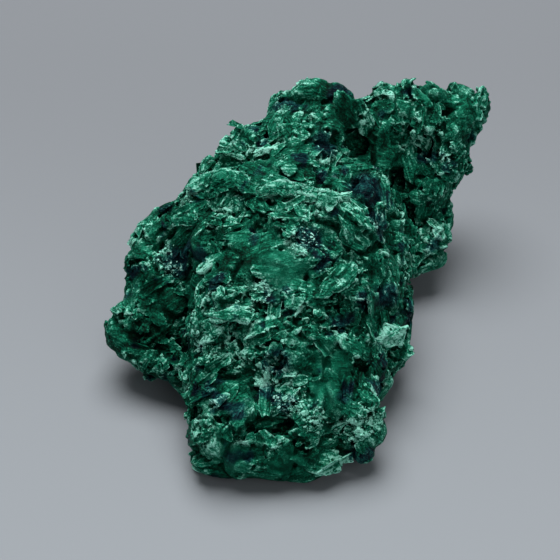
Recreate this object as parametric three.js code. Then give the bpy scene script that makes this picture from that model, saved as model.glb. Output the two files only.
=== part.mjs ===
// A loose chunk of fibrous malachite, as it broke out of the ground: one stone, grown in one piece.
// Rounded lobes of radiating fibres have grown into each other around a thick middle, with a blunt foot
// in front, a low lobe on the left and an upright wing at the back right. The underside is a rough
// broken face that touches the table on a few worn flats.
//
// Units are millimetres, +Z up, +Y away from the front. The origin is the middle of the box at the base.
import * as THREE from "three";
import { SimplexNoise } from "three/addons/math/SimplexNoise.js";

// The skin is sampled on a cubic lattice of this spacing, over a box that holds the whole stone.
const LATTICE = 2.3;
const BOX_LOW = [-45, -45, -5];
const BOX_HIGH = [55, 60, 55];
// How deep inside the stone a lattice point counts when it is filled in to keep the skin clean.
const FILLED_IN = 0.2;
// Neighbouring lobes run into each other over about this distance, and hollows into the skin over this one.
const LOBE_FILLET = 3.2;
const HOLLOW_FILLET = 1;
// Knobs of the growth surface: how far apart they are, how far they stand out, and the share of the
// finer knobs between them, which are half as far apart. The seed picks where they fall.
const KNOB_PITCH = 11;
const KNOB_RELIEF = 1.1;
const FINE_KNOBS = 0.5;
const KNOB_SEED = 7;
// The height at which the underside is worn level, where the stone rests.
const TABLE = 0;
const COLOUR = 0x1d6a4c;
const ROUGHNESS = 0.7;

// The lobes of the growth, each an ellipsoid: its middle, its three half-widths, and its turns about X, Y
// and Z in degrees. They are placed about the heart of the stone; the finished stone is then moved so that
// the middle of its box is over the origin.
const LOBES = [
  // the thick middle: the heart, the front slope, and the plateau on top
  { at: [2, 2, 19], half: [22, 20, 19], turn: [0, 0, 0] },
  { at: [2, -13, 13], half: [19, 15, 17], turn: [0, 0, 0] },
  { at: [2, 12, 27], half: [16, 17, 14], turn: [0, 0, -25] },
  { at: [9, 28, 16], half: [18, 16, 18], turn: [0, 0, 20] },
  { at: [-8, -10, 22], half: [10, 8, 8], turn: [0, 0, 0] },
  { at: [4, -10, 23], half: [10, 8, 8], turn: [0, 0, 0] },
  { at: [14, -4, 21], half: [8, 8, 8], turn: [0, 0, 0] },
  { at: [-11, 3, 28], half: [8, 8, 7], turn: [0, 0, 0] },
  { at: [7, 3, 34], half: [9, 6, 7], turn: [0, 0, 0] },
  { at: [-4, 13, 36], half: [9, 7, 6], turn: [0, 0, 0] },
  // the foot in front
  { at: [-9.5, -28.5, 7], half: [9, 8, 11], turn: [0, 0, 0] },
  { at: [2, -28, 6], half: [10, 9, 12], turn: [0, 0, 0] },
  { at: [12, -25, 8], half: [8, 8, 10], turn: [0, 0, 0] },
  { at: [-10, -18, 13], half: [9, 8, 8], turn: [0, 0, 0] },
  // the low lobe on the left, and the shoulder over it
  { at: [-24, 0, 12], half: [8.5, 8, 7.5], turn: [0, 0, 0] },
  { at: [-32, -5, 11], half: [6, 5, 5], turn: [0, 0, 0] },
  { at: [-22, -7.5, 8.5], half: [9, 6, 5.5], turn: [0, 0, 0] },
  { at: [-16, -11, 6], half: [6, 6, 6], turn: [0, 0, 0] },
  { at: [-30, 4, 16.5], half: [3.5, 4.5, 3.5], turn: [0, 0, 0] },
  { at: [-24, 8, 20], half: [7.5, 8, 8], turn: [0, 0, 0] },
  { at: [-23.5, 14.5, 23.5], half: [6, 6, 6], turn: [0, 0, 0] },
  { at: [-16.5, 14, 28], half: [7, 8, 7], turn: [0, 0, 0] },
  { at: [-11, 23.5, 29.5], half: [7, 7, 7], turn: [0, 0, 0] },
  // the head of the plateau
  { at: [7, 34, 42], half: [6, 6, 5.5], turn: [0, 0, 0] },
  { at: [3, 30, 40], half: [6, 7, 6], turn: [0, 0, 0] },
  { at: [13, 33, 38], half: [5, 7, 6], turn: [0, 0, 0] },
  { at: [8, 22, 38], half: [7, 7, 7], turn: [0, 0, 0] },
  { at: [-7.5, 26.5, 36.5], half: [5, 5, 5], turn: [0, 0, 0] },
  { at: [-2, 27, 37], half: [6, 6, 6], turn: [0, 0, 0] },
  { at: [8, 33, 33], half: [8, 6, 7], turn: [0, 0, 0] },
  // the right flank, which runs back in knobs from the bulge on the right
  { at: [15, 7, 30], half: [6, 7, 7], turn: [0, 0, 0] },
  { at: [18, 16, 30], half: [6, 7, 8], turn: [0, 0, 0] },
  { at: [20, 12, 20], half: [7, 9, 9], turn: [0, 0, 0] },
  { at: [20, 1, 16], half: [7, 8, 9], turn: [0, 0, 0] },
  { at: [21, -6, 12], half: [6, 6, 6], turn: [0, 0, 0] },
  { at: [16, -12, 8], half: [6, 7, 7], turn: [0, 0, 0] },
  // the saddle and the wing at the back right
  { at: [16, 35, 27], half: [8, 9, 10], turn: [0, 0, 0] },
  { at: [23, 39.5, 34.5], half: [6, 7, 7], turn: [0, 0, 0] },
  { at: [30, 40, 34], half: [6, 7, 8], turn: [0, 0, 0] },
  { at: [38, 42, 34], half: [6, 7, 7], turn: [0, 0, 0] },
  { at: [41.5, 42, 33], half: [4.5, 5, 5.5], turn: [0, 0, 0] },
  { at: [35.5, 37, 27], half: [7, 7, 8], turn: [0, 0, 0] },
  { at: [32, 33, 19], half: [6, 7, 8], turn: [0, 0, 0] },
  { at: [35, 31, 14], half: [2.5, 4, 3.5], turn: [0, 0, 0] },
  { at: [30, 24, 9.5], half: [5.5, 6.5, 6.5], turn: [0, 0, 0] },
  { at: [24, 32, 18], half: [9, 9, 13], turn: [0, 0, 0] },
  // the broken back, steep and lower than the plateau
  { at: [-19, 20, 12], half: [9, 10, 10], turn: [0, 0, 30] },
  { at: [-9, 30, 17], half: [10, 9, 12], turn: [0, 0, 30] },
  { at: [3, 38, 22], half: [12, 8, 14], turn: [0, 0, 15] },
  { at: [18, 42, 20], half: [11, 8, 14], turn: [0, 0, 0] },
  { at: [32, 43, 23], half: [8, 6, 10], turn: [0, 30, 0] },
  { at: [-5, 20, 5], half: [13, 15, 10], turn: [0, 0, 25] },
];

// Hollows left where crusts broke away, cut out of the skin in the same terms as the lobes.
const HOLLOWS = [
  // the cleft between the right flank and the wing
  { at: [27, 24, 24], half: [3.5, 5, 12], turn: [-35, 0, 0] },
  // the deep hollow right of the head
  { at: [17, 27, 38], half: [4, 6, 6], turn: [0, 0, 0] },
];

const radians = THREE.MathUtils.degToRad;

// Distance from a point to an ellipsoid, to first order: below zero inside.
function ellipsoid({ at, half, turn }) {
  const toLocal = new THREE.Matrix4()
    .compose(
      new THREE.Vector3(...at),
      new THREE.Quaternion().setFromEuler(new THREE.Euler(...turn.map(radians))),
      new THREE.Vector3(1, 1, 1),
    )
    .invert();
  const local = new THREE.Vector3();
  const [a, b, c] = half;
  return (point) => {
    local.copy(point).applyMatrix4(toLocal);
    const near = Math.hypot(local.x / a, local.y / b, local.z / c);
    const steep = Math.hypot(local.x / a ** 2, local.y / b ** 2, local.z / c ** 2);
    return steep > 0 ? (near * (near - 1)) / steep : -Math.min(a, b, c);
  };
}

// The smaller of two distances, with the corner between them rounded off.
function blended(p, q, fillet) {
  const overlap = Math.max(fillet - Math.abs(p - q), 0);
  return Math.min(p, q) - overlap ** 2 / (4 * fillet);
}

// The stone as a field: below zero inside the stone, above zero outside.
function makeStone() {
  const lobes = LOBES.map(ellipsoid);
  const hollows = HOLLOWS.map(ellipsoid);
  THREE.MathUtils.seededRandom(KNOB_SEED);
  const noise = new SimplexNoise({ random: () => THREE.MathUtils.seededRandom() });
  const knobs = (point, pitch) => noise.noise3d(point.x / pitch, point.y / pitch, point.z / pitch);
  return (point) => {
    let distance = lobes.map((lobe) => lobe(point)).reduce((p, q) => blended(p, q, LOBE_FILLET));
    distance -= KNOB_RELIEF * (knobs(point, KNOB_PITCH) + FINE_KNOBS * knobs(point, KNOB_PITCH / 2));
    for (const hollow of hollows) distance = -blended(-distance, hollow(point), HOLLOW_FILLET);
    return Math.max(distance, TABLE - point.z);
  };
}

// The corners of a lattice cell, and the pairs of corners that its twelve edges join.
const CORNERS = [0, 1, 2, 3, 4, 5, 6, 7].map((n) => [n & 1, (n >> 1) & 1, n >> 2]);
const EDGES = CORNERS.flatMap((corner, n) =>
  [1, 2, 4].filter((step) => !(n & step)).map((step) => [n, n | step]),
);

// The skin can't meet itself along an edge. It would where two corners of a lattice square are inside the
// stone and the other two, across from each other, are outside: one of those two is filled in.
function closeCorners(values, size, index) {
  const squares = [[1, 0, 0, 0, 1, 0], [0, 1, 0, 0, 0, 1], [0, 0, 1, 1, 0, 0]];
  let closed;
  do {
    closed = 0;
    for (let z = 0; z < size.z - 1; z++)
      for (let y = 0; y < size.y - 1; y++)
        for (let x = 0; x < size.x - 1; x++)
          for (const [ax, ay, az, bx, by, bz] of squares) {
            const near = index(x, y, z);
            const far = index(x + ax + bx, y + ay + by, z + az + bz);
            const sides = [index(x + ax, y + ay, z + az), index(x + bx, y + by, z + bz)];
            const inside = values[near] < 0;
            if (values[far] < 0 !== inside) continue;
            if (sides.some((side) => values[side] < 0 === inside)) continue;
            values[inside ? sides[0] : near] = -FILLED_IN;
            closed++;
          }
  } while (closed);
}

// The skin of a field by surface nets: one vertex in each lattice cell that the skin crosses, at the mean
// of its crossings of the cell's edges, and one quad round each lattice edge that it crosses.
function skinOf(field, box, pitch) {
  const size = box.getSize(new THREE.Vector3()).divideScalar(pitch).ceil().addScalar(1);
  const index = (x, y, z) => x + size.x * (y + size.y * z);
  const values = new Float32Array(size.x * size.y * size.z);
  const point = new THREE.Vector3();
  for (let z = 0; z < size.z; z++)
    for (let y = 0; y < size.y; y++)
      for (let x = 0; x < size.x; x++) {
        point.set(x, y, z).multiplyScalar(pitch).add(box.min);
        values[index(x, y, z)] = field(point);
      }
  closeCorners(values, size, index);

  const positions = [];
  const vertexOf = new Int32Array(values.length).fill(-1);
  const triangles = [];
  for (let z = 0; z < size.z - 1; z++)
    for (let y = 0; y < size.y - 1; y++)
      for (let x = 0; x < size.x - 1; x++) {
        const at = CORNERS.map(([i, j, k]) => values[index(x + i, y + j, z + k)]);
        const crossed = EDGES.filter(([m, n]) => at[m] < 0 !== at[n] < 0);
        if (!crossed.length) continue;
        point.set(0, 0, 0);
        for (const [m, n] of crossed) {
          const share = at[m] / (at[m] - at[n]);
          const [from, to] = [CORNERS[m], CORNERS[n]].map((c) => new THREE.Vector3(...c));
          point.add(from.lerp(to, share));
        }
        point.divideScalar(crossed.length).add({ x, y, z }).multiplyScalar(pitch).add(box.min);
        vertexOf[index(x, y, z)] = positions.length / 3;
        positions.push(...point);
        // Each lattice edge from this cell's first corner is shared by four cells, all made by now.
        const neighbours = [
          [1, [[0, -1, 0], [0, -1, -1], [0, 0, -1]]],
          [2, [[0, 0, -1], [-1, 0, -1], [-1, 0, 0]]],
          [4, [[-1, 0, 0], [-1, -1, 0], [0, -1, 0]]],
        ];
        for (const [step, around] of neighbours) {
          if (at[0] < 0 === at[step] < 0) continue;
          const ring = [[0, 0, 0], ...around].map(([i, j, k]) => vertexOf[index(x + i, y + j, z + k)]);
          if (at[0] >= 0) ring.reverse();
          const [p, q, r, t] = ring.map((n) => new THREE.Vector3().fromArray(positions, 3 * n));
          if (p.distanceTo(r) > q.distanceTo(t)) ring.push(ring.shift());
          triangles.push(ring[0], ring[1], ring[2], ring[0], ring[2], ring[3]);
        }
      }
  const skin = new THREE.BufferGeometry();
  skin.setAttribute("position", new THREE.Float32BufferAttribute(positions, 3));
  skin.setIndex(triangles);
  return skin;
}

// Moves the skin so that the middle of its box, at the base, is the origin.
function standAtOrigin(skin) {
  skin.computeBoundingBox();
  const middle = skin.boundingBox.getCenter(new THREE.Vector3());
  return skin.translate(-middle.x, -middle.y, -skin.boundingBox.min.z);
}

function makeChunk() {
  const box = new THREE.Box3(new THREE.Vector3(...BOX_LOW), new THREE.Vector3(...BOX_HIGH));
  const skin = standAtOrigin(skinOf(makeStone(), box, LATTICE));
  skin.computeVertexNormals();
  const material = new THREE.MeshStandardMaterial({ color: COLOUR, roughness: ROUGHNESS, metalness: 0 });
  const chunk = new THREE.Mesh(skin, material);
  chunk.name = "malachite_chunk";
  return chunk;
}

const specimen = new THREE.Group();
specimen.add(makeChunk());

export default specimen;
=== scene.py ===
"""A loose chunk of fibrous malachite on a pale studio floor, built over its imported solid."""

import math
import random

import bpy
from mathutils import Matrix, Vector


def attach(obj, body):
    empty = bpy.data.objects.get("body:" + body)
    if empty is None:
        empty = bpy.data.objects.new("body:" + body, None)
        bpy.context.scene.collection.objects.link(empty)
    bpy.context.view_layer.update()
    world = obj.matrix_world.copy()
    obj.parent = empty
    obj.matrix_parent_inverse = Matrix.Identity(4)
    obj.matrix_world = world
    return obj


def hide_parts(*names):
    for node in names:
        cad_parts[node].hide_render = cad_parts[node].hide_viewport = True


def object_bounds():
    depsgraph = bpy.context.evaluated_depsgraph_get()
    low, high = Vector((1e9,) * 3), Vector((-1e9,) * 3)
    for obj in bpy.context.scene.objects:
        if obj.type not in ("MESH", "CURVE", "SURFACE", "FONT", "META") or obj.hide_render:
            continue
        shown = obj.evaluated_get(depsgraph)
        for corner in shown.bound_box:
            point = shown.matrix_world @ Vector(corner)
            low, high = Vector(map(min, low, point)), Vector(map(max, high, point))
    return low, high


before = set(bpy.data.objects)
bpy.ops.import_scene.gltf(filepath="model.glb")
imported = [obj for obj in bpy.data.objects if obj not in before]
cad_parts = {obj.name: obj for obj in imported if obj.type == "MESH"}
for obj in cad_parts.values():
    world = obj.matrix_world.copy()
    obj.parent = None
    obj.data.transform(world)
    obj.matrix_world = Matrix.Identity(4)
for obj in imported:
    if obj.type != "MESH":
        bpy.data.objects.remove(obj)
cad_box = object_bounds()
MM = 0.001

# Camera. It looks down on the whole stone from the front, and aims a little in front of the middle of its
# box. The lens and the width of the film are in millimetres.
LOOKS_DOWN = math.radians(40)
AIM_FROM_MIDDLE = Vector((-4.3, -6.5, -2.054)) * MM
AWAY = 311 * MM
NEAREST_SEEN = 10 * MM
LENS = 100
FILM = 36
aim = (cad_box[0] + cad_box[1]) / 2 + AIM_FROM_MIDDLE
bpy.ops.object.select_all(action="DESELECT")
back_to_camera = Vector((0, -math.cos(LOOKS_DOWN), math.sin(LOOKS_DOWN)))
bpy.ops.object.camera_add(location=aim + back_to_camera * AWAY, rotation=(math.pi / 2 - LOOKS_DOWN, 0, 0))
camera = bpy.context.object
camera.name = "camera"
camera.data.lens = LENS
camera.data.sensor_width = FILM
camera.data.clip_start = NEAREST_SEEN
bpy.context.scene.camera = camera


# The body of the stone: massive malachite whose surface has broken along its fibres. It is a copy of the
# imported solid, skinned with small even faces and pushed in and out, with sheets, slabs and shards grown
# into it. Sizes are in millimetres, and rounds are how often each corner is averaged with its neighbours.
SKIN = 0.5
FINE_SKIN = 0.27
SMOOTHING_ROUNDS = 14
BULGE_ROUNDS = 30
EDGE_ROUNDS = 4
HEIGHT_ROUNDS = 45
SMALLEST_LUMP = 3000
TRIANGLES = 198000
SHARP = math.radians(38)
MERGED = 0.01
MIDDLE_GREY = (0.5, 0.5, 0.5)


class Wire:
    """An output of a node. Arithmetic on wires adds Math nodes to their tree."""

    def __init__(self, tree, socket=None):
        self.tree = tree
        self.socket = socket

    def node(self, kind, settings=None, inputs=None, output=0):
        """Adds a node of this kind, with its settings first, and gives one of its outputs."""
        made = self.tree.nodes.new(kind)
        for name, value in (settings or {}).items():
            if name == "stops":
                while len(made.color_ramp.elements) < len(value):
                    made.color_ramp.elements.new(1)
                for element, (place, colour) in zip(made.color_ramp.elements, value):
                    element.position = place
                    element.color = (*colour, 1)
            else:
                setattr(made, name, value)
        for name, value in (inputs or {}).items():
            if isinstance(value, Wire):
                self.tree.links.new(value.socket, made.inputs[name])
            else:
                made.inputs[name].default_value = value
        return Wire(self.tree, made.outputs[output] if made.outputs else None)

    def math(self, operation, *values):
        return self.node("ShaderNodeMath", {"operation": operation}, dict(enumerate((self, *values))))

    def vector(self, operation, *values, output=0):
        inputs = dict(enumerate((self, *values)))
        return self.node("ShaderNodeVectorMath", {"operation": operation}, inputs, output)

    def __add__(self, other):
        return self.math("ADD", other)

    def __sub__(self, other):
        return self.math("SUBTRACT", other)

    def __mul__(self, other):
        return self.math("MULTIPLY", other)

    def __rsub__(self, other):
        return self * -1 + other

    __radd__ = __add__
    __rmul__ = __mul__

    def step(self, low, high, start=0.0, end=1.0):
        """Start below low, end above high, and a smooth climb between them."""
        settings = {"interpolation_type": "SMOOTHSTEP"}
        inputs = {"Value": self, "From Min": low, "From Max": high, "To Min": start, "To Max": end}
        return self.node("ShaderNodeMapRange", settings, inputs)

    def scaled(self, factor):
        inputs = {"Vector": self, "Scale": factor}
        return self.node("ShaderNodeVectorMath", {"operation": "SCALE"}, inputs)

    def part(self, number):
        """One of the three numbers of a place or a colour."""
        return self.node("ShaderNodeSeparateXYZ", {}, {0: self}, output=number)

    def along(self, direction):
        """How far a place lies along a direction."""
        return self.vector("DOT_PRODUCT", direction, output="Value")

    def noise(self, pitch, detail=2, rough=0.5, colour=False):
        """Cloudy noise over a place in millimetres, from 0 to 1, about 0.5."""
        inputs = {"Vector": self, "Scale": 1 / pitch, "Detail": detail, "Roughness": rough}
        return self.node("ShaderNodeTexNoise", {}, inputs, output="Color" if colour else 0)

    def cells(self, pitch, output="Distance", feature="F1", **inputs):
        """The cells of a Voronoi pattern over a place in millimetres."""
        inputs = {"Vector": self, "Scale": 1 / pitch, **inputs}
        return self.node("ShaderNodeTexVoronoi", {"feature": feature}, inputs, output=output)

    def mixed(self, other, factor):
        """This colour where factor is 0, the other where it is 1."""
        return self.node("ShaderNodeMix", {"data_type": "RGBA"}, {0: factor, 6: self, 7: other}, output=2)


def geometry_tree(name):
    """A new tree of nodes: a wire to add them with, and the mesh that comes in."""
    tree = bpy.data.node_groups.new(name, "GeometryNodeTree")
    tree.interface.new_socket("Geometry", in_out="INPUT", socket_type="NodeSocketGeometry")
    tree.interface.new_socket("Geometry", in_out="OUTPUT", socket_type="NodeSocketGeometry")
    wire = Wire(tree)
    return wire, wire.node("NodeGroupInput")


def keep(geometry, name, value, kind="FLOAT", domain="POINT"):
    """Stores a value on the mesh, under a name that a material can read."""
    settings = {"data_type": kind, "domain": domain}
    inputs = {"Geometry": geometry, "Name": name, "Value": value}
    return geometry.node("GeometryNodeStoreNamedAttribute", settings, inputs)


def pushed(geometry, offset):
    """Moves every point of the mesh by an offset in millimetres."""
    inputs = {"Geometry": geometry, "Offset": offset.scaled(MM)}
    return geometry.node("GeometryNodeSetPosition", {}, inputs)


def place_in(wire):
    """The place of each point, in millimetres."""
    return wire.node("GeometryNodeInputPosition").scaled(1 / MM)


def named(wire, name, kind="FLOAT"):
    """A value that was stored on the mesh."""
    return wire.node("GeometryNodeInputNamedAttribute", {"data_type": kind}, {"Name": name})


def mesh_of(wire, piece):
    """The mesh of another piece."""
    return wire.node("GeometryNodeObjectInfo", {}, {"Object": piece}, output="Geometry")


def distance_to(wire, mesh):
    """How far each point is from another mesh, in millimetres."""
    return wire.node("GeometryNodeProximity", {}, {0: mesh}, output="Distance") * (1 / MM)


def borrowed(wire, mesh, value, kind="FLOAT"):
    """The value of another mesh at the spot that is nearest to each point."""
    position = wire.node("GeometryNodeInputPosition")
    inputs = {"Mesh": mesh, "Value": value, "Sample Position": position}
    return wire.node("GeometryNodeSampleNearestSurface", {"data_type": kind}, inputs)


def picked(*pieces):
    """Selects these pieces and no others, and makes the last one active."""
    bpy.ops.object.select_all(action="DESELECT")
    for piece in pieces:
        piece.select_set(True)
        bpy.context.view_layer.objects.active = piece


def doubled(piece, name):
    """A new piece with its own copy of another's mesh."""
    made = bpy.data.objects.new(name, piece.data.copy())
    bpy.context.scene.collection.objects.link(made)
    return made


def modified(piece, kind, **settings):
    """Adds a modifier to the active piece and applies it."""
    modifier = piece.modifiers.new(kind, kind)
    for name, value in settings.items():
        setattr(modifier, name, value)
    bpy.ops.object.modifier_apply(modifier=modifier.name)


def apply_tree(piece, geometry):
    """Makes the mesh of a piece what its tree of nodes has come to."""
    geometry.node("NodeGroupOutput", {}, {0: geometry})
    picked(piece)
    modified(piece, "NODES", node_group=geometry.tree)


def stands_out(wire, geometry, name, rounds):
    """Stores how far each place stands out from what is round it, in millimetres."""
    place = place_in(wire)
    inputs = {"Value": place, "Iterations": rounds}
    middle = wire.node("GeometryNodeBlurAttribute", {"data_type": "FLOAT_VECTOR"}, inputs)
    out = place.vector("SUBTRACT", middle).along(wire.node("GeometryNodeInputNormal"))
    return keep(geometry, name, out)


def wander(place, pitch):
    """Noise that points every way, up to about a half long."""
    return place.noise(pitch, colour=True).vector("SUBTRACT", MIDDLE_GREY)


def drifted(place, pitch, reach):
    """The place, moved about by noise, so that what is drawn over it winds."""
    return place.vector("ADD", wander(place, pitch).scaled(2 * reach))


def chips(place, pitch, tilt, lift):
    """Flat-faced chips: how far each place is pushed out, and the chip's own random number."""
    middle = place.cells(pitch, output="Position")
    own = place.cells(pitch, output="Color")
    lean = own.vector("SUBTRACT", MIDDLE_GREY)
    share = own.part(1)
    return place.vector("SUBTRACT", middle).along(lean) * (2 * tilt) + (share - 0.5) * lift, share


def added(shape, kinds):
    """Adds empty attributes to a shape, by name and kind, and gives their values to fill in."""
    for name, kind in kinds.items():
        shape.data.attributes.new(name, kind, "POINT")
    return [shape.data.attributes[name].data for name in kinds]


def settled(shape):
    """Puts the faces in one order, because operators in edit mode leave them in another each time."""
    places = [vertex.co.copy() for vertex in shape.data.vertices]
    faces = sorted(tuple(face.vertices) for face in shape.data.polygons)
    shape.data.clear_geometry()
    shape.data.from_pydata(places, [], faces)
    shape.data.update()


def shard(name, corners, stretch, thickness, curl, seed, cuts=1):
    """One broken slab about two long, with its own coordinates and a painted highlight on its rim kept on
    its mesh.
    """
    chance = random.Random(seed)
    bpy.ops.object.select_all(action="DESELECT")
    bpy.ops.mesh.primitive_circle_add(vertices=corners, radius=1, fill_type="TRIFAN")
    made = bpy.context.object
    made.name = name
    # a broken outline, raised to a thin wall with a narrow bevel
    for vertex in made.data.vertices:
        if vertex.co.length > 0.5:
            vertex.co *= chance.uniform(1 - 3.8 / corners, 1.12)
    bpy.ops.object.mode_set(mode="EDIT")
    bpy.ops.mesh.select_all(action="SELECT")
    if cuts:
        bpy.ops.mesh.subdivide(number_cuts=cuts)
    bpy.ops.mesh.extrude_region_move(TRANSFORM_OT_translate={"value": (0, 0, thickness)})
    bpy.ops.mesh.inset(thickness=0.10, depth=0.03)
    bpy.ops.object.mode_set(mode="OBJECT")
    settled(made)
    # then jagged, stretched and bent, with a painted highlight on only the rim of its face
    own, rim_highlights = added(made, {"own": "FLOAT_VECTOR", "edge": "FLOAT"})
    for n, vertex in enumerate(made.data.vertices):
        x, y, z = vertex.co
        out = math.hypot(x, y)
        jag = chance.uniform(0.86, 1.1) if out > 0.5 else 1
        bow = -curl * y * y - 0.14 * x * x + 0.08 * math.sin(2.5 * x + seed)
        bow += chance.uniform(-0.02, 0.02)
        rim_highlights[n].value = chance.uniform(0, 1) if thickness * 0.9 < z < thickness * 1.01 else 0
        vertex.co = (x * stretch * jag, y / stretch * jag, z + bow - thickness * 0.55)
        own[n].vector = vertex.co
    return made


# Where copies can grow, in millimetres, each from where there are none to where there are most: heights
# over the floor, and distances from a piece that they keep clear of. The fibres turn on the right flank,
# between these two distances from the middle, and wander by noise of this pitch and strength. Each copy is
# then tipped and rolled by up to these angles.
GROWS_ABOVE = (0.8, 2.5)
CLEARANCE = (0.5, 1.1)
FLANK = (4, 18)
WANDER_PITCH = 10
WANDER = 3.4
TIP = 0.2
ROLL_OVER = 0.16


def scattered(name, shapes, spacing, density, sizes, lean, seed, patchy, bulge, spin=0.9, clear=None):
    """A piece made of copies of the shapes, strewn over the body along the growth of its fibres."""
    group = bpy.data.collections.new(name)
    bpy.context.scene.collection.children.link(group)
    for shape in shapes:
        group.objects.link(shape)
        bpy.context.scene.collection.objects.unlink(shape)
    piece = doubled(body, name)
    wire, geometry = geometry_tree(name)
    place = place_in(wire)
    ground_in = mesh_of(wire, ground)

    def chance(low, high, number):
        inputs = {2: low, 3: high, "Seed": number}
        return wire.node("FunctionNodeRandomValue", {"data_type": "FLOAT"}, inputs, output=1)

    # where they grow
    share = patchy(place) * place.part(2).step(*GROWS_ABOVE) * (1 - named(wire, "deep"))
    share = share * borrowed(wire, ground_in, named(wire, "bulge")).step(*bulge, 1, 0)
    if clear:
        share = share * distance_to(wire, mesh_of(wire, clear)).step(*CLEARANCE)
    inputs = {"Mesh": geometry, "Distance Min": spacing * MM, "Density Max": density,
              "Density Factor": share, "Seed": seed}
    points = wire.node("GeometryNodeDistributePointsOnFaces", {"distribute_method": "POISSON"}, inputs)

    # how they lie: along x over most of the stone, and down towards the front on its right flank
    normal = borrowed(wire, ground_in, wire.node("GeometryNodeInputNormal"), "FLOAT_VECTOR")
    side = place.part(0).step(*FLANK)
    parts = {0: 1 - side * 0.8, 1: side * -0.5 + 0.15, 2: side * -0.8 + 0.15}
    growth = wire.node("ShaderNodeCombineXYZ", {}, parts)
    growth = growth.vector("ADD", wander(place, WANDER_PITCH).scaled(WANDER))
    across = normal.vector("CROSS_PRODUCT", growth).vector("NORMALIZE")
    level = across.vector("CROSS_PRODUCT", normal).vector("NORMALIZE")
    angle = chance(*lean, seed + 1)
    facing = normal.scaled(angle.math("COSINE")).vector("ADD", across.scaled(angle.math("SINE")))
    turn = wire.node("FunctionNodeAlignRotationToVector", {"axis": "Z"}, {"Vector": facing})
    settings = {"axis": "X", "pivot_axis": "Z"}
    turn = turn.node("FunctionNodeAlignRotationToVector", settings, {"Rotation": turn, "Vector": level})
    turns = [chance(-reach, reach, seed + 2 + n) for n, reach in enumerate((TIP, ROLL_OVER, spin))]
    inputs = {"Rotation": turn, "Rotate By": wire.node("ShaderNodeCombineXYZ", {}, dict(enumerate(turns)))}
    turn = turn.node("FunctionNodeRotateRotation", {"rotation_space": "LOCAL"}, inputs)

    # how large each is, with more small ones than large
    size = chance(0, 1, seed + 5)
    size = size * size * (sizes[1] - sizes[0]) + sizes[0]
    scale = wire.node("ShaderNodeCombineXYZ", {}, {0: size * MM, 1: size * MM, 2: size * MM})
    picks = {"Collection": group, "Separate Children": True, "Reset Children": True}
    shapes_in = wire.node("GeometryNodeCollectionInfo", {}, picks)
    inputs = {"Points": points, "Instance": shapes_in, "Pick Instance": True,
              "Rotation": turn, "Scale": scale}
    copies = wire.node("GeometryNodeInstanceOnPoints", {}, inputs)
    copies = keep(copies, "tone", chance(0, 1, seed + 6), domain="INSTANCE")
    copies = keep(copies, "size", size, domain="INSTANCE")
    made = wire.node("GeometryNodeRealizeInstances", {}, {0: copies})

    # the grain of each lies far from the others', so that no two look alike
    tone = named(wire, "tone")
    apart = wire.node("ShaderNodeCombineXYZ", {}, {0: tone * 97, 1: tone * 31, 2: tone * 53})
    grain = named(wire, "own", "FLOAT_VECTOR").scaled(named(wire, "size")).vector("ADD", apart)
    made = keep(made, "grain", grain, "FLOAT_VECTOR")
    apply_tree(piece, made)
    for shape in shapes:
        bpy.data.objects.remove(shape)
    bpy.data.collections.remove(group)
    return piece


def near(place, spots):
    """1 close to any of the spots, 0 away from all: each spot is a place and a reach, in millimetres."""
    total = 0
    for x, y, z, reach in spots:
        share = place.vector("DISTANCE", (x, y, z), output="Value").step(reach * 0.55, reach * 1.1, 1, 0)
        total = share.math("MAXIMUM", total)
    return total


def knob(name):
    """One smooth round knob, two across."""
    bpy.ops.object.select_all(action="DESELECT")
    bpy.ops.mesh.primitive_uv_sphere_add(segments=24, ring_count=14, radius=1)
    made = bpy.context.object
    made.name = name
    settled(made)
    return made


def placed(shape, middle, along, facing, size, tone):
    """Sets one shard down at a given place, its length along one way and its face to another."""
    facing = Vector(facing).normalized()
    across = facing.cross(Vector(along)).normalized()
    turn = Matrix((across.cross(facing), across, facing)).transposed()
    grain, tones = added(shape, {"grain": "FLOAT_VECTOR", "tone": "FLOAT"})
    for n, vertex in enumerate(shape.data.vertices):
        grain[n].vector = vertex.co * size + Vector(middle)
        tones[n].value = tone
        vertex.co = (Vector(middle) + turn @ vertex.co * size) * MM
    return shape


# A curled sheet has this many columns and rows of faces, and this many jags are drawn for its free edge.
COLUMNS = 28
ROWS = 6
JAGS = 60


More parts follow.
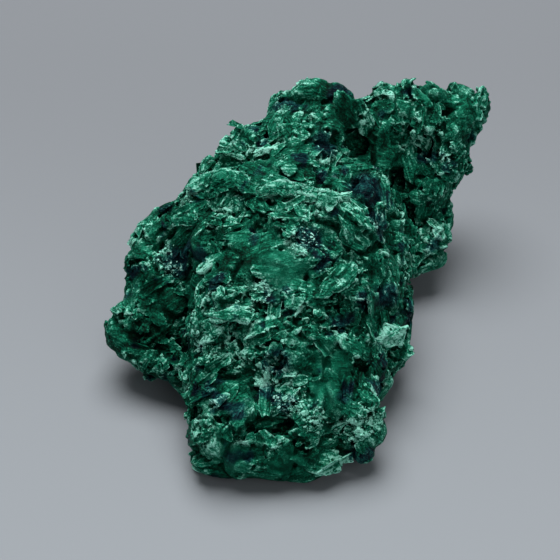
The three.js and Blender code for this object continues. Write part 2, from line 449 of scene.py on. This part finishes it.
def blade(name, edge, root, reach, thickness, tone, seed):
    """A long curled sheet: its free edge runs through these places, and its root lies that way from it."""
    chance = random.Random(seed)
    edge = [Vector(place) for place in edge]
    bpy.ops.object.select_all(action="DESELECT")
    bpy.ops.mesh.primitive_grid_add(x_subdivisions=COLUMNS, y_subdivisions=ROWS, size=2)
    made = bpy.context.object
    made.name = name
    root = Vector(root).normalized()
    grain, tones, rim_highlights = added(made, {"grain": "FLOAT_VECTOR", "tone": "FLOAT", "edge": "FLOAT"})
    jags = [chance.uniform(-0.5, 0.4) for _ in range(JAGS)]
    for n, vertex in enumerate(made.data.vertices):
        # a smooth curve through the places of the free edge, with its slope at each from those beside it
        run = (vertex.co.x + 1) / 2 * (len(edge) - 1)
        first = min(int(run), len(edge) - 2)
        share = run - first
        before, after = edge[max(first - 1, 0)], edge[min(first + 2, len(edge) - 1)]
        way_in, way_out = (edge[first + 1] - before) / 2, (after - edge[first]) / 2
        late = 3 * share ** 2 - 2 * share ** 3
        place = edge[first] * (1 - late) + edge[first + 1] * late
        place += way_in * (share - 2 * share ** 2 + share ** 3) + way_out * (share ** 3 - share ** 2)
        # from there down to the root: shorter at both ends, jagged at the edge and bowed in between
        down = (1 - vertex.co.y) / 2
        taper = 1 - 0.92 * abs(vertex.co.x) ** 4
        # a painted highlight along the free edge
        rim_highlights[n].value = chance.uniform(0.2, 1) if vertex.co.y > 0.9 else 0
        place -= Vector((0, -0.7, 0.7)) * jags[int((vertex.co.x + 1) / 2 * COLUMNS)] * (1 - down)
        bow = Vector((0, -1, 0.4)) * math.sin(down * math.pi) * 0.5
        vertex.co = (place + root * reach * down * taper + bow) * MM
        grain[n].vector = (run * 4 + seed * 20, down * reach, seed * 7)
        tones[n].value = tone
    modified(made, "SOLIDIFY", thickness=thickness * MM, offset=0)
    return made


# Where the surface is not the same all over, in millimetres, each place with its reach: hollows and
# swellings, bare ground where nothing stands out, patches painted paler as painted light or darker as
# painted shade, crusts of small crystals, smooth velvety growth, and blue-black stains.
HOLLOWS = [
    (-7.5, -40, 14.5, 3.2), (-4.5, -40, 14.7, 3.2), (-25.5, -16.8, 13.8, 4), (-5, -31.3, 22.7, 2),
    (31.3, 29.8, 39.1, 2.4), (24.2, 18.9, 18.3, 4), (22, 27.1, 33.6, 2.6), (11.5, 24.5, 34.4, 4),
    (-23.7, 2.9, 33.2, 2.2), (11, -39.5, 8.5, 1.6), (-3, 2.5, 41, 2), (7.8, 13.6, 42, 2.4), (22, 23, 25, 3),
    (5.3, 1.2, 39.9, 1.8), (-10, -21.7, 29.8, 2.2), (-2.4, -5.6, 39.2, 1.6), (0.4, -24.8, 29.6, 1.6),
]
SWELLS = [
    (9, 29, 43.8, 3.5), (22.5, 35, 42, 1.8), (29, 34.5, 41, 3), (-14.5, 18, 40, 3.5), (-20, -41, 3.8, 3),
    (-22, -30, 11, 2.5), (30, 17, 15, 4),
]
BARE = [(37, 30, 37, 5.5), (16, -38, 8, 5), (-38.5, -14.5, 12, 5.5), (9, 30, 45, 2.5)]
PAINTED_LIGHT_SPOTS = [
    (-15, 18.6, 39.8, 4), (-10.5, 21, 42, 4), (13, -38, 10, 5), (17.6, -18, 17.4, 4), (30, 15.5, 14, 6),
    (-14.3, -0.4, 36.7, 4), (3.4, -8.8, 37.7, 4), (-6, -32, 20.7, 5), (-13, -27.6, 23.7, 4),
    (-7.5, -19, 31.5, 3), (9, -39.5, 10, 4), (-11, -23, 29, 4), (31, 15, 25, 4), (-20, -37, 11, 3),
]
PAINTED_SHADE_SPOTS = [
    (-33, -13, 14, 6), (-38, -15, 12, 5), (-3, -42, 9, 6), (-25, -19, 14, 6), (16, 22, 31, 6),
    (24, 20, 22, 7), (-23, -6, 26, 4), (-28, -9, 18, 6), (-21, -30, 14, 5), (-13, -14, 32, 5),
    (9.8, 25, 42.6, 5), (10, -30, 20, 5), (-7, -41, 12.5, 4), (-20.5, -27, 18, 4), (15, -27, 17, 5),
    (-29, 4, 31, 5), (-7, -26.5, 26.5, 3), (4, -27, 26, 3),
]
CRUSTS = [
    (-28.3, -2.3, 25.8, 4), (-26.3, -4.1, 23.9, 3), (-18.6, -25.1, 21.4, 4), (-12.8, -29.9, 20.7, 3.5),
    (-7.7, -32, 20.1, 3.5), (-2.6, -36.3, 17.9, 4.5), (2.8, -38.8, 15, 3.5), (8.5, -39, 11, 4),
    (12.7, -36.5, 12.6, 3.5), (-8.5, -20.4, 30.4, 3), (16, 10, 36, 3), (0, -12, 36, 4),
]
VELVET = [
    (-14, -41.5, 8, 4.5), (-3, -42.5, 7, 4), (4, -34.9, 17.9, 3.4), (5.9, -30.1, 21.9, 4.5),
    (-3.3, -16.2, 33.9, 4.5), (28, 33, 42, 4), (-20, -8, 30, 3),
]
STAINS = [
    (12.6, 3.9, 36.1, 5), (1.5, -11.3, 36.1, 3.5), (-5, -31.3, 22.7, 3.5), (14, -2, 33, 3.5),
    (5, 12, 42, 3.5), (-25, -4, 25, 4), (17, -14, 24, 3.5), (8, 27, 44, 3),
]


def open_ground(place):
    """1 where sheets can grow, 0 on velvet, on bare ground and in the hollows."""
    return 1 - near(drifted(place, 4, 2.2), VELVET + HOLLOWS + BARE)


def broken_up(place):
    """1 where the surface has broken up small, close to 0 where it is whole."""
    return open_ground(place) * place.vector("ADD", (60, 9, 13)).noise(9, 1).step(0.48, 0.56, 1, 0.1)


body = doubled(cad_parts["malachite_chunk"], "stone_body")
picked(body)
bpy.ops.object.mode_set(mode="EDIT")
bpy.ops.mesh.select_all(action="SELECT")
bpy.ops.mesh.remove_doubles(threshold=MERGED * MM)
bpy.ops.object.mode_set(mode="OBJECT")
modified(body, "REMESH", mode="VOXEL", voxel_size=SKIN * MM)
modified(body, "SMOOTH", iterations=SMOOTHING_ROUNDS)

# the smooth ground under the relief: it gives the shards their lean, and says where the stone bulges
ground = doubled(body, "ground")
wire, geometry = geometry_tree("bulges")
apply_tree(ground, stands_out(wire, geometry, "bulge", BULGE_ROUNDS))

# the large shapes: how far each pushes the surface, and how far apart the scattered ones are
LUMP = 2.4
LUMP_PITCH = 10
ROLL = 2.2
ROLL_PITCH = 4.5
NOOK = 2.4
NOOK_PITCH = 5
CLEFT = 1.5
CLEFT_PITCH = 13
HOLLOW = 4
SWELL = 1.8
SUNK = 0.1
wire, geometry = geometry_tree("large_relief")
place = place_in(wire)
loose = drifted(place, 8, 2.5)
firm = 1 - near(place, BARE)
lump = loose.cells(LUMP_PITCH, feature="SMOOTH_F1", Smoothness=0.25).step(0.1, 0.75, 1, 0)
nook = place.vector("ADD", (3, 17, 5)).noise(NOOK_PITCH).step(0.60, 0.68) * firm
cleft = loose.cells(CLEFT_PITCH, feature="DISTANCE_TO_EDGE").step(0.01, 0.06, 1, 0) * firm
dug = near(drifted(place, 3, 1.2), HOLLOWS)
push = (lump - 0.6) * LUMP + (place.noise(ROLL_PITCH) - 0.5) * ROLL - nook * NOOK - cleft * CLEFT
push = push - dug * HOLLOW + near(drifted(place, 3, 1.2), SWELLS) * SWELL - SUNK
off_floor = place.part(2).step(0.5, 5)
normal = wire.node("GeometryNodeInputNormal")
geometry = keep(geometry, "deep", nook.math("MAXIMUM", dug))
apply_tree(body, pushed(geometry, normal.scaled(push * off_floor)))

# the sheets that stand out furthest: some at set places, which also show as ledges, and many scattered
dark_knob = placed(knob("dark_knob"), (12.4, 3.0, 36.4), (1, 0, 0), (0, 0, 1), 2.3, 0.1)
long_edge = [
    (-8.5, -1, 40.2), (-5, 0.2, 41.5), (-1, -0.7, 41.9), (2.5, -1.9, 41.5), (6, -2, 40.6), (9.5, 0, 38.7),
]
left_edge = [(-23, 6.5, 35.4), (-19.5, 7, 38), (-15.5, 5.6, 40.3), (-12, 3.5, 41), (-10.5, 1, 41)]
shoulder_edge = [(-27.6, 3.6, 30.2), (-25.6, 2.6, 32), (-23, 0.8, 33.4), (-20.5, -1, 33.8)]
fan = shard("fan_plate", 9, 1.55, 0.25, 0.15, 61)
bulge_plate = shard("bulge_plate", 9, 1.3, 0.25, 0.15, 62)
split_plate = shard("split_plate", 9, 1.7, 0.25, 0.2, 63)
side_flake = shard("side_flake", 8, 1.5, 0.25, 0.2, 64)
rim_flake = shard("rim_flake", 8, 1.4, 0.25, 0.3, 65)
head_flake = shard("head_flake", 8, 1.6, 0.25, 0.2, 66)
ledge_shapes = [
    blade("long_sheet", long_edge, (0, -0.62, -0.75), 3.0, 0.45, 0.95, 1),
    blade("left_ledge", left_edge, (0, -0.8, -0.5), 3.2, 0.5, 0.9, 2),
    blade("shoulder_ledge", shoulder_edge, (0.1, -0.8, -0.6), 2.8, 0.5, 0.9, 3),
    placed(fan, (7, -17.9, 31.8), (6.4, 7.3, 1.3), (0.1, -0.6, 0.8), 3.9, 0.7),
    placed(bulge_plate, (17.6, -18, 17.4), (1, 0.4, 0.2), (0.4, -0.8, 0.5), 3.3, 1.0),
    placed(split_plate, (-12.4, -24.4, 28.5), (1, -0.2, 0.25), (0, -0.7, 0.7), 3.1, 0.9),
    placed(side_flake, (15.7, -2, 34.3), (-0.2, 0.6, 0.8), (0.6, -0.7, 0.4), 2.4, 0.9),
    placed(rim_flake, (8.9, -9.3, 36.2), (0.5, -0.4, -0.7), (0.6, -0.6, 0.5), 2.6, 0.9),
    placed(head_flake, (-3.5, 15.0, 42.6), (0.5, -0.5, -0.6), (0.2, -0.7, 0.6), 2.1, 0.9),
]
shapes = [shard("sheet_%d" % n, 14, 1.2 + 0.14 * n, 0.17, 0.26 - 0.1 * n, n + 80) for n in range(5)]
sheets = scattered("sheets", shapes, spacing=4.6, density=80000, sizes=(2.2, 4.6), lean=(-0.04, 0.26),
                   seed=91, patchy=open_ground, bulge=(0.08, 0.25), spin=0.6)
picked(dark_knob, *[doubled(shape, "rooted") for shape in ledge_shapes], sheets)
bpy.ops.object.join()

# the slabs and shards between them
shapes = [shard("slab_%d" % n, 9, 1.0 + 0.11 * n, 0.42 - 0.03 * n, 0.35 - 0.1 * n, n) for n in range(6)]
slabs = scattered("slabs", shapes, spacing=2.4, density=100000, sizes=(1.4, 3.6), lean=(-0.4, 0.4),
                  seed=11, patchy=broken_up, bulge=(0.2, 0.5), clear=sheets)
shapes = [shard("shard_%d" % n, 7, 1.0 + 0.16 * n, 0.36, 0.3 - 0.1 * n, n + 20) for n in range(6)]
shards = scattered("shards", shapes, spacing=1.3, density=400000, sizes=(0.8, 1.9), lean=(-0.55, 0.55),
                   seed=31, patchy=lambda place: broken_up(place) * 0.8, bulge=(0.5, 1.0), clear=sheets)
picked(sheets, shards, slabs)
bpy.ops.object.join()
picked(doubled(slabs, "grown_in"), body)
bpy.ops.object.join()
modified(body, "REMESH", mode="VOXEL", voxel_size=FINE_SKIN * MM)


def fibres(wire):
    """Ridges about a millimetre apart that run along the grain, about 0."""
    grain = named(wire, "grain", "FLOAT_VECTOR")
    return grain.vector("MULTIPLY", (0.25, 1.1, 1.1)).noise(1) - 0.5


# the grain of the slab that each place belongs to, then fibres, gaps and small chips along it
FIBRE = 0.3
CHIP_PITCH = 1.6
GAP_PITCH = 1.6
wire, geometry = geometry_tree("small_relief")
place = place_in(wire)
slabs_in = mesh_of(wire, slabs)
away = distance_to(wire, slabs_in).step(0.25, 0.7)
grain = borrowed(wire, slabs_in, named(wire, "grain", "FLOAT_VECTOR"), "FLOAT_VECTOR").scaled(1 - away)
grain = grain.vector("ADD", drifted(place, 9, 3).scaled(away))
tone = borrowed(wire, slabs_in, named(wire, "tone")) * (1 - away) + away * 0.5
geometry = keep(geometry, "grain", grain, "FLOAT_VECTOR")
geometry = keep(geometry, "tone", tone)
gap = drifted(place, 3, 1).vector("MULTIPLY", (0.6, 1, 1)).noise(GAP_PITCH).step(0.58, 0.68)
chip = chips(drifted(place, 1.6, 0.5), CHIP_PITCH, 0.2, 0.15)[0]
push = fibres(wire) * FIBRE + (chip - gap) * broken_up(place)
off_floor = place.part(2).step(0.3, 3, 0.15, 1)
normal = wire.node("GeometryNodeInputNormal")
apply_tree(body, pushed(geometry, normal.scaled(push * off_floor)))
bpy.data.objects.remove(slabs)

# loose crumbs taken off, then how far each place stands out, close by (its edges) and far (its hollows), for
# the painted highlight and painted shade of the material
wire, geometry = geometry_tree("wear")
inputs = {"Value": 1.0, "Group ID": wire.node("GeometryNodeInputMeshIsland")}
points = wire.node("GeometryNodeAccumulateField", {"data_type": "FLOAT"}, inputs, output="Total")
inputs = {"Geometry": geometry, "Selection": points.math("LESS_THAN", SMALLEST_LUMP)}
geometry = wire.node("GeometryNodeDeleteGeometry", {}, inputs)
geometry = stands_out(wire, geometry, "edge", EDGE_ROUNDS)
geometry = stands_out(wire, geometry, "height", HEIGHT_ROUNDS)
apply_tree(body, geometry)
modified(body, "DECIMATE", ratio=TRIANGLES / (2 * len(body.data.polygons)))
bpy.ops.object.shade_smooth_by_angle(angle=SHARP)


# The greens of the stone and the blues of its stains, from the darkest value, 0, to the palest, 1.
GREENS = [
    (0.0, (0.0002, 0.012, 0.006)),
    (0.25, (0.0005, 0.045, 0.024)),
    (0.5, (0.001, 0.112, 0.060)),
    (0.7, (0.014, 0.21, 0.124)),
    (0.86, (0.085, 0.42, 0.285)),
    (0.97, (0.31, 0.77, 0.61)),
]
BLUES = [
    (0.0, (0.0004, 0.004, 0.011)),
    (0.4, (0.003, 0.032, 0.044)),
    (0.7, (0.02, 0.16, 0.14)),
    (1.0, (0.38, 0.76, 0.66)),
]
USUAL_VALUE = 0.655


def attribute(wire, name, output="Fac"):
    """A value that was stored on the mesh, for a material."""
    return wire.node("ShaderNodeAttribute", {"attribute_name": name}, output=output)


def malachite(name, bright=0.0, rim=1.0):
    """Silky green fibres, with a painted highlight at a thin edge and painted shade deep down, bluish in a
    stain.
    """
    material = bpy.data.materials.new(name)
    material.use_nodes = True
    material.node_tree.nodes.clear()
    wire = Wire(material.node_tree)
    place = wire.node("ShaderNodeTexCoord", output="Object").scaled(1 / MM)
    loose = drifted(place, 3, 1.2)

    # what the eye can tell apart: streaks along the grain, grit, clouds, chips, cracks darkened as painted
    # shade, and bright flecks as painted glints
    tone = attribute(wire, "tone")
    streaks = attribute(wire, "grain", "Vector").vector("MULTIPLY", (0.18, 2.0, 2.0)).noise(1, 3, 0.6)
    grit = place.noise(0.42, 2, 0.8)
    cloud = place.noise(8, 3)
    chip, share = chips(drifted(place, 1.5, 0.35), 1.0, 0.5, 0.4)
    crack = drifted(place, 1.2, 0.5).cells(1.9, feature="DISTANCE_TO_EDGE").step(0.0, 0.07, 1, 0)
    cracked = place.vector("ADD", (7, 7, 7)).noise(4, 1).step(0.42, 0.58)
    fleck = drifted(place, 0.7, 0.2).cells(0.8).step(0.12, 0.32, 1, 0) * place.noise(1.4).step(0.54, 0.62)

    # where the growth differs, and what sticks out, for a painted highlight, or lies deep, for painted shade
    crusty = place.vector("ADD", (25, 30, 83)).noise(5).step(0.58, 0.68).math("MAXIMUM", near(loose, CRUSTS))
    stained = place.vector("ADD", (11, 2, 40)).noise(6).step(0.58, 0.68).math("MAXIMUM", near(loose, STAINS))
    velvet = near(loose, VELVET)
    # painted highlight on edges that stand out, painted shade in small creases and, below, in deep hollows
    edge_highlight_hollow_shade = (attribute(wire, "edge") * rim).step(-0.06, 0.2, -0.2, 0.22)
    edge_highlight_hollow_shade = edge_highlight_hollow_shade + attribute(wire, "height").step(-1.3, 0.5, -0.5, 0.08)

    # how pale each place is
    value = tone.math("POWER", 4) * 0.42 - 0.08
    value = value + (streaks - 0.5) * 1.6 + (cloud - 0.5) + (grit - 0.5) * (1.1 + crusty * 0.8) + edge_highlight_hollow_shade
    # painted glints: bright flecks, more of them in the crusts
    value = value + (share - 0.5) * (0.2 + crusty * 0.6) + fleck * (0.16 + crusty * 0.25)
    # painted shade in thin cracks
    value = value - crack * cracked * 0.25 * (1 - velvet)
    value = value * (1 - velvet * 0.55) + USUAL_VALUE + velvet * 0.07 + crusty * 0.04 - stained * 0.26
    # painted shade and painted light in set patches
    value = value - near(loose, PAINTED_SHADE_SPOTS) * 0.2 + near(loose, PAINTED_LIGHT_SPOTS) * 0.15
    # painted glints on the crystals
    value = value + bright * (tone.math("POWER", 3) * 2.2 - 0.1)
    green = wire.node("ShaderNodeValToRGB", {"stops": GREENS}, {0: value})
    blue = wire.node("ShaderNodeValToRGB", {"stops": BLUES}, {0: value})
    relief = streaks * 0.4 + grit * 0.38 + chip * 0.3 - crack * 0.12
    bump = wire.node("ShaderNodeBump", {}, {"Strength": 0.9, "Distance": 1 * MM, "Height": relief})
    shader = wire.node("ShaderNodeBsdfPrincipled", {}, {
        "Base Color": green.mixed(blue, stained * 0.85),
        "Roughness": (streaks - 0.5) * 0.4 + 0.65 - stained * 0.25,
        "Specular IOR Level": 0.06,
        "Normal": bump,
    })
    wire.node("ShaderNodeOutputMaterial", {}, {"Surface": shader})
    return material


def finished(piece, material):
    """Gives a piece its only material and its CAD body."""
    piece.data.materials.clear()
    piece.data.materials.append(material)
    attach(piece, "root")


finished(body, malachite("malachite_body"))
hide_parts("malachite_chunk")


# The ledges: thin curled sheets of the same stone, whose free edges stand out of the body. Each has its
# root grown into the body, where a copy of it is part of the skin. Sizes are in millimetres.
LEDGE_FIBRE = 0.5
CLEAR_OF_SKIN = (0, -0.2, 0.2)
picked(*ledge_shapes)
bpy.ops.object.join()
ledges = bpy.context.object
ledges.name = "ledges"
wire, geometry = geometry_tree("ledge_relief")
geometry = wire.node("GeometryNodeSubdivideMesh", {}, {"Mesh": geometry, "Level": 2})
place = place_in(wire)
torn = drifted(drifted(place, 4.5, 1.0), 1.6, 0.55).vector("SUBTRACT", place)
offset = wire.node("GeometryNodeInputNormal").scaled(fibres(wire) * LEDGE_FIBRE).vector("ADD", torn)
apply_tree(ledges, pushed(geometry, offset.vector("ADD", CLEAR_OF_SKIN)))
bpy.ops.object.shade_smooth_by_angle(angle=SHARP)
finished(ledges, malachite("malachite_ledges", rim=0.2))


# The flakes: thin broken plates of the same stone, held by one edge where the surface has broken up.
# A few shapes are made once and copied over the body.
shapes = [shard("flake_%d" % n, 12, 1.0 + 0.14 * n, 0.10, 0.45 - 0.2 * n, n + 20, 0) for n in range(6)]
flakes = scattered("flakes", shapes, spacing=2.3, density=300000, sizes=(0.9, 2.4), lean=(-0.12, 0.24),
                   seed=31, patchy=broken_up, bulge=(0.08, 0.25), spin=1.2)
finished(flakes, malachite("malachite_flakes", rim=0.25))


# The crystals: crusts of small pale crystals that have grown in patches over the stone, with painted
# glints in their colour. A few stubby shapes are made once and copied.
def crystal(name, seed):
    """One crystal about two long, flat and uneven."""
    chance = random.Random(seed)
    bpy.ops.object.select_all(action="DESELECT")
    bpy.ops.mesh.primitive_ico_sphere_add(subdivisions=1, radius=1)
    made = bpy.context.object
    made.name = name
    squash = [chance.uniform(0.6, 1.5), chance.uniform(0.3, 0.9), chance.uniform(0.2, 0.5)]
    for vertex in made.data.vertices:
        vertex.co = [value * share * chance.uniform(0.7, 1.2) for value, share in zip(vertex.co, squash)]
    own, rim_highlights = added(made, {"own": "FLOAT_VECTOR", "edge": "FLOAT"})
    for n, vertex in enumerate(made.data.vertices):
        own[n].vector = vertex.co
        # a faint painted highlight over each crystal
        rim_highlights[n].value = chance.uniform(0, 0.3)
    return made


def crusted(place):
    """1 in the patches of the crusts."""
    return near(drifted(place, 2, 1.5), CRUSTS) * place.noise(1.6).step(0.40, 0.52)


shapes = [crystal("crystal_%d" % n, n + 40) for n in range(5)]
crystals = scattered("crystals", shapes, spacing=0.32, density=5000000, sizes=(0.18, 0.6), lean=(-1, 1),
                     seed=51, patchy=crusted, bulge=(0.3, 0.6), spin=3)
finished(crystals, malachite("malachite_crystals", bright=0.6))
bpy.data.objects.remove(ground)


# The studio: a pale grey floor, painted darker towards the back as painted shade, and soft light from
# above and a little behind. It is not part of the stone. Distances are in metres, and lamp powers in watts.
FLOOR_SIDE = 4
SHADE_REACH = 0.12
NEAR_LIT_GREY = (0.30, 0.325, 0.35)
FAR_SHADED_GREY = (0.20, 0.213, 0.23)
SKY = (0.93, 0.96, 1, 1)
SKY_STRENGTH = 0.16
LAMPS_AIM = Vector((0, 0, 0.02))
bpy.ops.mesh.primitive_plane_add(size=FLOOR_SIDE)
floor = bpy.context.object
floor.name = "floor"
material = bpy.data.materials.new("studio_floor")
material.use_nodes = True
material.node_tree.nodes.clear()
wire = Wire(material.node_tree)
# the grey darkens towards the back: painted shade
depth = wire.node("ShaderNodeTexCoord", output="Object").part(1).step(-SHADE_REACH, SHADE_REACH)
grey = wire.node("ShaderNodeValToRGB", {"stops": [(0.0, NEAR_LIT_GREY), (1.0, FAR_SHADED_GREY)]}, {0: depth})
shader = wire.node("ShaderNodeBsdfPrincipled", {}, {
    "Base Color": grey,
    "Roughness": 0.8,
    "Specular IOR Level": 0.2,
})
wire.node("ShaderNodeOutputMaterial", {}, {"Surface": shader})
floor.data.materials.append(material)


def lamp(name, place, size, power):
    """A round soft lamp that shines at the middle of the stone."""
    away = Vector(place) - LAMPS_AIM
    bpy.ops.object.light_add(type="AREA", location=place, rotation=away.to_track_quat("Z", "Y").to_euler())
    light = bpy.context.object
    light.name = name
    light.data.shape = "DISK"
    light.data.size = size
    light.data.energy = power


lamp("overhead", (-0.05, 0.22, 0.8), 0.7, 10)
lamp("front_fill", (0.5, -0.8, 0.6), 0.8, 1.5)
world = bpy.data.worlds.new("studio")
bpy.context.scene.world = world
world.use_nodes = True
sky = world.node_tree.nodes["Background"]
sky.inputs["Color"].default_value = SKY
sky.inputs["Strength"].default_value = SKY_STRENGTH
bpy.context.scene.view_settings.view_transform = "Standard"
